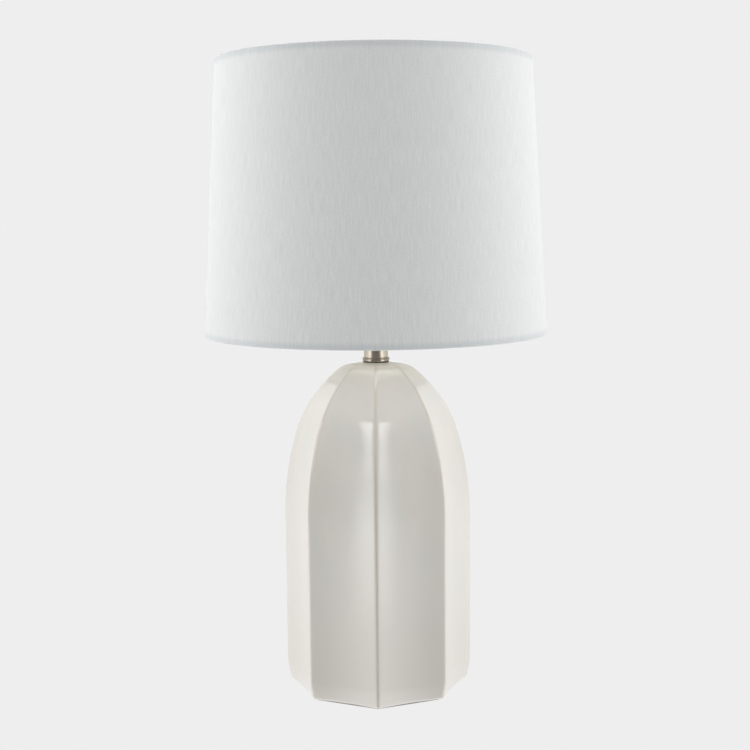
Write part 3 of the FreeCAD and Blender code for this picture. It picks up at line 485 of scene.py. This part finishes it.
class LAMP_OT_column(LampPiece, bpy.types.Operator):
    """Turn the column's wall and press eight soft-ridged flutes into it"""

    bl_idname = "lamp.column"
    bl_label = "Column"

    def corners(self, settings):
        """The wall's closed section through the middle of a flute."""
        flat, wall, hole, recess = settings.flat, settings.wall, settings.hole, settings.recess
        foot, top = COLUMN_FOOT, COLUMN_TOP
        spring, ceiling = top - 120.8 * MM, top - 8 * MM
        shoulder, shoulder_level = flat - 19.75 * MM, top - 37.9 * MM
        floor, deck = settings.floor, settings.floor + settings.floor_depth
        outside = [
            (recess + 2.5 * MM, foot),
            (flat - 3.2 * MM, foot + 0.5 * MM, 4 * MM),
            (flat, foot + 18.5 * MM, 40 * MM),
            (flat, spring, 350 * MM),
            (shoulder, shoulder_level, 138 * MM),
            (flat - 56.7 * MM, top - 2.6 * MM, 23 * MM),
            (15.5 * MM, top),
            (hole, top),
        ]
        inside = [
            (hole, ceiling),
            (flat - 66 * MM, ceiling),
            (shoulder - wall, shoulder_level - wall, 100 * MM),
            (flat - wall, spring, 300 * MM),
            (flat - wall, deck),
            (hole, deck),
            (hole, floor),
            (recess, floor),
            (recess, foot),
        ]
        return outside + inside

    def execute(self, context):
        settings = context.scene.lamp_column
        column = turned("glazed_column", self.corners(settings), settings.columns)
        ridge = column.data.attributes.new("ridge", "FLOAT", "POINT")
        crown = column.data.attributes.new("crown", "FLOAT", "POINT")
        axis = settings.flat + settings.hollow
        round_within, fluted_beyond = 13 * MM, 40 * MM
        # How yellow the glaze turns near the neck, and between which radii it fades out.
        crown_share, crown_full, crown_edge = 0.85, 16 * MM, 62 * MM
        for index, vertex in enumerate(column.data.vertices):
            across = math.hypot(vertex.co.x, vertex.co.y)
            way = math.atan2(vertex.co.y, vertex.co.x)
            from_ridge = (way + HALF_FLUTE) % (2 * HALF_FLUTE) - HALF_FLUTE
            crowded = from_ridge - settings.crowding / FLUTES * math.sin(FLUTES * from_ridge)
            way += crowded - from_ridge
            soft = math.hypot(crowded, settings.softness / across)
            turn = HALF_FLUTE - soft
            reach = axis - across
            pressed = axis * math.cos(turn) - math.sqrt(reach ** 2 - (axis * math.sin(turn)) ** 2)
            depth = smoothstep(across, round_within, fluted_beyond)
            radius = across + (pressed - across) * depth
            vertex.co.x = radius * math.cos(way)
            vertex.co.y = radius * math.sin(way)
            near = crowded * radius / settings.thinning
            glazed = vertex.co.z > COLUMN_FOOT + 2 * MM
            ridge.data[index].value = math.exp(-near * near) * depth * glazed
            crown.data[index].value = crown_share * (1 - smoothstep(across, crown_full, crown_edge))
        settle(smooth(column, sharp=40), glaze(settings), "glaze", "base", "ceramic_body")
        return {"FINISHED"}


class LAMP_OT_shade(LampPiece, bpy.types.Operator):
    """Wrap the cloth round the shade and over both rings, with its lapped seam at the back"""

    bl_idname = "lamp.shade"
    bl_label = "Shade cloth"

    def skin(self, level):
        """The cloth's outer radius at a level."""
        slope = (SHADE_CROWN - SHADE_MOUTH) / (SHADE_TOP - SHADE_FOOT)
        return SHADE_MOUTH + (level - SHADE_FOOT) * slope

    def corners(self, settings):
        """The cloth's closed section: up the outside, over each ring and down inside it."""
        cloth, roll = settings.cloth, settings.roll
        arc, clear, rows = 1.3 * MM, 4 * MM, 24
        outer, inner = [], []
        for edge, way in ((HEM_FOOT, 1), (HEM_TOP, -1)):
            fold = edge + way * cloth
            lip = edge + way * settings.hem
            outer.append([
                (self.skin(lip) - roll, lip),
                (self.skin(edge) - roll, edge, arc),
                (self.skin(edge), edge, arc),
            ])
            inner.append([
                (self.skin(fold) - cloth, fold, arc - cloth),
                (self.skin(fold) - roll + cloth, fold, arc - cloth),
                (self.skin(lip) - roll + cloth, lip),
            ])
        middle = [(self.skin(z), z) for z in levels(HEM_FOOT + clear, HEM_TOP - clear, rows)]
        backing = [(across - cloth, z) for across, z in middle]
        return outer[0] + middle + outer[1][::-1] + inner[1][::-1] + backing[::-1] + inner[0]

    def lap(self, settings):
        """The end of the cloth, lapped over its start at the back."""
        strip = fresh(bpy.ops.mesh.primitive_grid_add, "shade_lap", x_subdivisions=8,
                      y_subdivisions=40, size=1)
        short = 0.4 * MM
        for vertex in strip.data.vertices:
            across, up = vertex.co.x + 0.5, vertex.co.y + 0.5
            level = HEM_FOOT + short + up * (HEM_TOP - HEM_FOOT - 2 * short)
            radius = self.skin(level) + settings.cloth * (1 - across ** 2)
            way = (across - 0.5) * settings.lap / radius
            vertex.co = (radius * math.sin(way), radius * math.cos(way), level)
        with editing(strip):
            bpy.ops.mesh.normals_make_consistent(inside=False)
            bpy.ops.mesh.solidify(thickness=settings.cloth)
        unroll(strip)
        return smooth(strip)

    def execute(self, context):
        settings = context.scene.lamp_shade
        cloth = turned("shade_cloth", self.corners(settings), settings.columns, least=5)
        unroll(cloth)
        material = linen(settings)
        settle(cloth, material, "linen", "shade",
               "shade_fabric", "shade_top_hem", "shade_bottom_hem")
        strip = dress(self.lap(settings), material)
        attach(strip, "shade")
        return {"FINISHED"}


class LAMP_OT_neck(LampPiece, bpy.types.Operator):
    """Turn the grooved collar, the tube and the stepped cap of the neck"""

    bl_idname = "lamp.neck"
    bl_label = "Neck"

    def execute(self, context):
        nickel = brushed("neck_nickel", context.scene.lamp_metal.nickel)
        rod, wall = 5.1 * MM, 0.9 * MM
        brim, low, _ = extent("neck_collar")
        radius, foot, top = extent("neck_tube")
        rim, _, summit = extent("neck_cap")
        bore, spigot = radius - wall, radius - 0.5 * MM
        seat = foot + 0.1 * MM
        groove, flange = brim - 0.8 * MM, brim + 0.1 * MM
        collar = turned("neck_ring", [
            (rod, low),
            (brim - 0.5 * MM, low, 0.2 * MM),
            (brim, low + 0.9 * MM, 0.5 * MM),
            (brim, foot - 1.1 * MM, 0.25 * MM),
            (groove, foot - 0.9 * MM),
            (groove, foot - 0.45 * MM),
            (flange, foot - 0.35 * MM, 0.12 * MM),
            (flange, foot, 0.12 * MM),
            (spigot, seat),
            (rod, seat),
        ], reach=0.5 * MM)
        settle(collar, nickel, "brushed_nickel", "base", "neck_collar")
        tube = turned("neck_sleeve", [
            (bore, seat),
            (spigot, seat),
            (spigot, foot + 0.5 * MM),
            (radius, foot + 0.8 * MM, 0.3 * MM),
            (radius, top, 0.3 * MM),
            (bore, top),
        ], reach=0.5 * MM)
        settle(tube, nickel, "brushed_nickel", "base", "neck_tube")
        cap = turned("neck_lid", [
            (rod, top),
            (rim - 0.7 * MM, top, 0.3 * MM),
            (rim, top + 0.8 * MM, 0.4 * MM),
            (rim, summit - 0.7 * MM, 0.5 * MM),
            (rim - 1.5 * MM, summit - 0.6 * MM, 0.3 * MM),
            (rim - 1.8 * MM, summit, 0.2 * MM),
            (rod, summit),
        ], reach=0.5 * MM)
        settle(cap, nickel, "brushed_nickel", "base", "neck_cap")
        return {"FINISHED"}


class LAMP_OT_finial(LampPiece, bpy.types.Operator):
    """Turn the finial: a flange, a waist and a ringed ball with a button on top"""

    bl_idname = "lamp.finial"
    bl_label = "Finial"

    def execute(self, context):
        nickel = brushed("finial_nickel", context.scene.lamp_metal.nickel, roughness=0.16)
        low, top = extent("finial_knob")[1:]
        insert, _, insert_top = extent("finial_insert")
        bore, roof = insert + 0.05 * MM, insert_top + 1.3 * MM
        flange = ((7.6, 0.0, 0.3), (8.0, 0.7, 0.5), (8.0, 2.0, 0.6), (6.9, 2.7, 0.4))
        waist = ((6.1, 3.6, 1.2), (6.9, 4.7, 0.4))
        ball = ((7.8, 5.9, 1.6), (7.8, 8.2, 0.3), (7.45, 8.4), (7.45, 8.9), (7.8, 9.1, 0.3),
                (7.7, 12.6, 4.0))
        button = ((3.4, 15.6, 1.5), (2.6, 15.7, 0.2), (2.6, 16.8, 0.9))
        section = [(across * MM, low + up * MM, *(arc * MM for arc in rounding))
                   for across, up, *rounding in flange + waist + ball + button]
        knob = turned("finial_ball", [(bore, low), *section, (0, top), (0, roof), (bore, roof)],
                      steps=64, reach=0.6 * MM)
        settle(knob, nickel, "brushed_nickel", "finial", "finial_knob")
        return {"FINISHED"}


class LAMP_OT_sleeves(LampPiece, bpy.types.Operator):
    """Turn a beaded locking sleeve for the harp and copy it to the other leg"""

    bl_idname = "lamp.sleeves"
    bl_label = "Harp sleeves"

    def execute(self, context):
        nickel = brushed("sleeve_nickel", context.scene.lamp_metal.nickel, roughness=0.18)
        sides = [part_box(node) for node in ("harp_sleeve_left", "harp_sleeve_right")]
        centres = [(low.x + high.x) / 2 for low, high in sides]
        radius, low, top = extent("harp_sleeve_left")
        bore = radius - 1.4 * MM
        edge, width, depth = 1.6 * MM, 0.5 * MM, 0.35 * MM
        section = [(bore, low), (radius, low, 0.7 * MM)]
        for level in (low + edge, top - edge - width):
            section += [
                (radius, level, 0.2 * MM),
                (radius - depth, level + 0.3 * width),
                (radius - depth, level + 0.7 * width),
                (radius, level + width, 0.2 * MM),
            ]
        section += [(radius, top, 0.7 * MM), (bore, top)]
        first = turned("harp_ferrule_left", section, steps=40, reach=0.5 * MM)
        second = twin(first, "harp_ferrule_right", centres[1])
        for vertex in first.data.vertices:
            vertex.co.x += centres[0]
        settle(first, nickel, "harp_nickel", "left_sleeve", "harp_sleeve_left")
        settle(second, nickel, "harp_nickel", "right_sleeve", "harp_sleeve_right")
        return {"FINISHED"}


class LAMP_OT_switch(LampPiece, bpy.types.Operator):
    """Turn the thumb knob of the switch with grip ribs round it, and lay it to the front"""

    bl_idname = "lamp.switch"
    bl_label = "Switch knob"

    def execute(self, context):
        low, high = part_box("switch_knob")
        radius, level = (high.x - low.x) / 2, (high.z + low.z) / 2
        near, far = -high.y, -low.y
        bore, throat = 1.75 * MM, 3.4 * MM
        neck, socket_end = near + 4 * MM, near + 9 * MM
        ribs, rib_depth = 18, 0.035
        knob = turned("switch_grip", [
            (bore, near),
            (throat, near, 0.3 * MM),
            (throat, neck, 0.8 * MM),
            (radius, neck, 0.7 * MM),
            (radius, far - 2 * MM, 0.5 * MM),
            (radius - 1 * MM, far, 1.2 * MM),
            (0, far),
            (0, socket_end),
            (bore, socket_end),
        ], steps=144, reach=0.5 * MM)
        for vertex in knob.data.vertices:
            x, y, z = vertex.co
            rim = smoothstep(math.hypot(x, y), radius - 1.2 * MM, radius - 0.2 * MM)
            pressed = 1 - rib_depth * rim * (1 - math.cos(ribs * math.atan2(y, x)))
            vertex.co = (x * pressed, -z, y * pressed + level)
        material = plain("black_moulding", (0.02, 0.02, 0.02), 0.25)
        settle(knob, material, "knob_black", "switch", "switch_knob")
        return {"FINISHED"}


class LAMP_OT_bulb(LampPiece, bpy.types.Operator):
    """Blow the opal globe, mould its housing and roll the thread of its screw shell"""

    bl_idname = "lamp.bulb"
    bl_label = "Bulb"

    def execute(self, context):
        radius, seat, top = extent("bulb_globe")
        wall, belly, crown = 1.4 * MM, 30 * MM, 29.1 * MM
        shoulder = seat + 15 * MM
        mouth, inner = radius - 1.5 * MM, radius - wall
        globe = turned("opal_globe", [
            (mouth - wall, seat),
            (mouth, seat),
            (radius, shoulder, belly),
            (radius, top, crown),
            (0, top),
            (0, top - wall),
            (inner, top - wall, crown - wall),
            (inner, shoulder, belly),
        ], reach=2 * MM)
        opal = plain("opal", (0.90, 0.90, 0.88), 0.35, Subsurface_Weight=0.3)
        settle(globe, opal, "bulb_diffuser", "bulb", "bulb_globe")
        self.housing()
        self.thread(context.scene.lamp_metal)
        return {"FINISHED"}

    def housing(self):
        """The cone between the globe and the screw shell, with a groove under its rim."""
        rim, foot, top = extent("bulb_housing")
        neck, spigot, wall, flare = 13.9 * MM, 12.4 * MM, 1.6 * MM, 16 * MM
        low = foot + 3 * MM
        waist, brim = low + 6.4 * MM, top - 4 * MM
        groove = rim - 0.5 * MM
        housing = turned("bulb_cone", [
            (spigot - wall, foot),
            (spigot, foot),
            (spigot, low),
            (neck, low, 0.5 * MM),
            (neck, waist, flare),
            (rim, brim, flare),
            (rim, top - 2.2 * MM, 0.2 * MM),
            (groove, top - 2.0 * MM),
            (groove, top - 1.6 * MM),
            (rim, top - 1.4 * MM, 0.2 * MM),
            (rim, top, 0.3 * MM),
            (rim - wall, top),
            (rim - wall, brim, flare),
            (neck - wall, waist, flare),
            (spigot - wall, low),
        ], reach=2 * MM)
        white = plain("white_housing", (0.85, 0.85, 0.84), 0.3)
        settle(housing, white, "bulb_body", "bulb", "bulb_housing")

    def thread(self, metals):
        """A rolled thread: a tube pressed in and out along a helix, plain at both ends."""
        radius, low, top = extent("bulb_screw_shell")
        wall, pitch, depth = 0.35 * MM, 3.6 * MM, 1.1 * MM
        rows = levels(low, top, 60)
        outside = [(radius, level) for level in rows]
        inside = [(radius - wall, level) for level in reversed(rows)]
        shell = turned("bulb_thread", outside + inside, steps=72)
        for vertex in shell.data.vertices:
            x, y, z = vertex.co
            turn = FULL_TURN * z / pitch - math.atan2(y, x)
            ends = smoothstep(min(z - low, top - z), 0.5 * MM, 3 * MM)
            pressed = 1 - depth * ends * (0.5 - 0.5 * math.cos(turn)) / math.hypot(x, y)
            vertex.co = (x * pressed, y * pressed, z)
        with editing(shell):
            bpy.ops.mesh.normals_make_consistent(inside=False)
        aluminium = plain("rolled_aluminium", metals.steel, 0.25, metallic=1.0)
        settle(smooth(shell, sharp=50), aluminium, "bulb_shell", "bulb_thread", "bulb_screw_shell")


class LAMP_OT_hardware(LampPiece, bpy.types.Operator):
    """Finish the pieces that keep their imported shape"""

    bl_idname = "lamp.hardware"
    bl_label = "Hardware"

    def execute(self, context):
        metals = context.scene.lamp_metal
        finishes = {
            "felt": plain("felt", (0.30, 0.29, 0.27), 0.95, grain=900, depth=0.2 * MM, patch=0.2),
            "bush_plastic": plain("ivory_nylon", (0.78, 0.77, 0.73), 0.4),
            "rubber": plain("black_rubber", (0.03, 0.03, 0.03), 0.7),
            "zinc_steel": plain("zinc_steel", metals.steel, 0.3, metallic=1.0),
            "brushed_nickel": brushed("brushed_nickel", metals.nickel),
            "harp_nickel": plain("bright_nickel", metals.nickel, 0.2, metallic=1.0),
            "spider_white": plain("white_enamel", (0.82, 0.82, 0.81), 0.3),
            "styrene": plain("styrene", (0.86, 0.86, 0.85), 0.45),
            "brass": plain("brass", metals.brass, 0.28, metallic=1.0),
            "paper": plain("brown_fibre", (0.38, 0.25, 0.14), 0.8, grain=400),
            "phenolic": plain("black_phenolic", (0.02, 0.02, 0.02), 0.35),
            "knob_black": plain("black_moulding", (0.02, 0.02, 0.02), 0.25),
            "led_board": plain("led_board", (0.85, 0.85, 0.84), 0.4),
        }
        for part in frame["record"]["subparts"]:
            node = frame["nodes"][part["node"]]
            if not node.hide_render:
                dress(node, finishes[part["material_slot"]])
        return {"FINISHED"}


def softbox(name, size, core, glow):
    """An area light that fades in from its sides, its foot and its top to its core."""
    data = bpy.data.lights.new(name, "AREA")
    data.shape = "RECTANGLE"
    data.size, data.size_y = size
    data.energy = glow * math.pi * size[0] * size[1]
    data.use_nodes = True
    nodes = Nodes(data.node_tree)
    where = nodes.add("NewGeometry").outputs["Parametric"]
    split = nodes.add("SeparateXYZ", {0: where})
    side, foot, crest = core
    strength = 1.0
    for axis, edge, full in (("X", 0, side), ("X", 1, 1 - side), ("Y", 0, foot), ("Y", 1, crest)):
        strength = nodes.math("MULTIPLY", nodes.ramp(split.outputs[axis], edge, full), strength)
    nodes.set(nodes.tree.nodes["Emission"], "Strength", strength)
    light = bpy.data.objects.new(name, data)
    bpy.context.scene.collection.objects.link(light)
    light.visible_camera = False
    return light


class LAMP_OT_stage(LampPiece, bpy.types.Operator):
    """Set the floor, the soft lights and the camera"""

    bl_idname = "lamp.stage"
    bl_label = "Stage"

    def execute(self, context):
        stage = context.scene.lamp_stage
        context.scene.view_settings.view_transform = "Standard"
        self.floor(stage)
        self.room(context, stage)
        self.lights(stage)
        self.camera(context, stage)
        return {"FINISHED"}

    def floor(self, stage):
        """A pale sheet just under the felt. From below it is clear, so that the foot shows."""
        floor = fresh(bpy.ops.mesh.primitive_plane_add, "floor", size=30)
        for vertex in floor.data.vertices:
            vertex.co.z = -stage.floor_drop
        floor.visible_diffuse = floor.visible_glossy = False
        paper = Finish("paper")
        glow = paper.add("Emission", {"Color": stage.paper, "Strength": 1.0})
        from_below = paper.add("NewGeometry").outputs["Backfacing"]
        clear = paper.add("BsdfTransparent")
        sides = paper.add("MixShader", {0: from_below, 1: glow.outputs[0], 2: clear.outputs[0]})
        paper.set(paper.tree.nodes["Material Output"], "Surface", sides.outputs[0])
        dress(floor, paper.material)

    def lights(self, stage):
        """A softbox and a strip light on each side of the camera."""
        kinds = (
            ("softbox", stage.box_side, stage.box_level, 0,
             (stage.box_size, stage.box_core, stage.box_glow)),
            ("strip", stage.strip_side, stage.strip_level, stage.strip_lean,
             (stage.strip_size, stage.strip_core, stage.strip_glow)),
        )
        for hand, way in (("left", -1), ("right", 1)):
            for kind, side, level, lean, make in kinds:
                turn = side * way - stage.azimuth
                outward = Vector((math.sin(turn), -math.cos(turn), 0))
                light = softbox(f"{kind}_{hand}", *make)
                light.location = outward * stage.light_distance + Vector((0, 0, level))
                light.rotation_euler = (-outward).to_track_quat("-Z", "Y").to_euler()
                light.rotation_euler.rotate(Matrix.Rotation(-lean * way, 3, outward))

    def room(self, context, stage):
        """A room dark in front, lit from its sides and overhead, and pale to the camera."""
        world = bpy.data.worlds.new("room")
        context.scene.world = world
        world.use_nodes = True
        nodes = Nodes(world.node_tree)
        way = nodes.add("SeparateXYZ", {0: nodes.add("TexCoord").outputs["Generated"]})
        front = nodes.math("MULTIPLY", way.outputs["Y"], -1)
        turn = nodes.math("ABSOLUTE", nodes.math("ARCTAN2", way.outputs["X"], front))
        turn = nodes.math("DIVIDE", turn, math.pi)
        rise = nodes.math("DIVIDE", nodes.math("ARCSINE", way.outputs["Z"]), math.pi)
        rise = nodes.math("ADD", rise, 0.5)
        brightest = 4

        def profile(value, *stops):
            """Brightness by angle in degrees: round from the camera, or up from straight down.

            A colour ramp holds nothing above 1, so it holds shares of the brightest.
            """
            ramp = nodes.add("ValToRGB", {0: value})
            bar = ramp.color_ramp.elements
            for index, (degrees, glow) in enumerate(stops):
                stop = bar[index] if index < 2 else bar.new(1)
                stop.position = degrees / 180
                stop.color = (glow / brightest, glow / brightest, glow / brightest, 1)
            return nodes.math("MULTIPLY", ramp.outputs[0], brightest)

        under = profile(rise, (74, 1), (84, 0))
        over = profile(rise, (98, 0), (104, 1))
        middle = nodes.math("SUBTRACT", nodes.math("SUBTRACT", 1, under), over)
        beside = profile(rise, (71, 0), (77, 1), (86, 1), (93, 0))
        glow = profile(rise, (150, 0), (162, 3.4))
        for band, *stops in (
            (under, (0, 0.35), (38, 0.4), (60, 2.9), (105, 2.9), (130, 1.05)),
            (middle, (0, 0.05), (36, 0.08), (46, 0.6), (53, 1.3), (60, 1.2), (68, 0.3),
             (110, 0.3), (130, 1.1)),
            (over, (0, 0.7), (110, 0.1), (130, 1.1)),
            (beside, (50, 0), (56, 2.4), (62, 2.4), (68, 0)),
        ):
            glow = nodes.math("ADD", glow, nodes.math("MULTIPLY", band, profile(turn, *stops)))
        seen = nodes.add("LightPath").outputs["Is Camera Ray"]
        glow = nodes.math("MULTIPLY", glow, nodes.math("SUBTRACT", 1, seen))
        glow = nodes.math("ADD", glow, nodes.math("MULTIPLY", seen, stage.paper[0]))
        background = nodes.tree.nodes["Background"]
        nodes.set(background, "Strength", glow)
        nodes.set(background, "Color", (1, 1, 1))

    def camera(self, context, stage):
        """Look at the lamp from the photograph's place."""
        camera = bpy.data.objects.new("camera", bpy.data.cameras.new("camera"))
        context.scene.collection.objects.link(camera)
        way = stage.azimuth + stage.yaw
        level = Vector((-math.sin(way), math.cos(way), 0))
        ahead = level * math.cos(stage.tilt) - Vector((0, 0, math.sin(stage.tilt)))
        right = level.cross(Vector((0, 0, 1)))
        up = right.cross(ahead)
        across = right * math.cos(stage.roll) + up * math.sin(stage.roll)
        upward = up * math.cos(stage.roll) - right * math.sin(stage.roll)
        axes = Matrix((across, upward, -ahead)).transposed().to_4x4()
        place = (math.sin(stage.azimuth) * stage.distance,
                 -math.cos(stage.azimuth) * stage.distance, stage.height)
        camera.matrix_world = Matrix.Translation(place) @ axes
        camera.data.lens = stage.lens
        camera.data.sensor_width = 36
        camera.data.clip_end = 50
        context.scene.camera = camera


class LAMP_PT_panel(bpy.types.Panel):
    """Lists the makers in the order that they run"""

    bl_label = "Table Lamp"
    bl_idname = "LAMP_PT_panel"
    bl_space_type = "VIEW_3D"
    bl_region_type = "UI"
    bl_category = "Table Lamp"

    def draw(self, context):
        for maker in MAKERS:
            self.layout.operator(maker.bl_idname)


SETTINGS = {
    "lamp_column": ColumnSettings,
    "lamp_shade": ShadeSettings,
    "lamp_metal": MetalSettings,
    "lamp_stage": StageSettings,
}
MAKERS = (LAMP_OT_column, LAMP_OT_shade, LAMP_OT_neck, LAMP_OT_finial, LAMP_OT_sleeves,
          LAMP_OT_switch, LAMP_OT_bulb, LAMP_OT_hardware, LAMP_OT_stage)


def register():
    for group in (*SETTINGS.values(), *MAKERS, LAMP_PT_panel):
        bpy.utils.register_class(group)
    for name, group in SETTINGS.items():
        setattr(bpy.types.Scene, name, PointerProperty(type=group))


def unregister():
    for name in SETTINGS:
        delattr(bpy.types.Scene, name)
    for group in reversed((*SETTINGS.values(), *MAKERS, LAMP_PT_panel)):
        bpy.utils.unregister_class(group)


def main():
    register()
    for maker in MAKERS:
        group, name = maker.bl_idname.split(".")
        getattr(getattr(bpy.ops, group), name)()


if __name__ == "__main__":
    main()
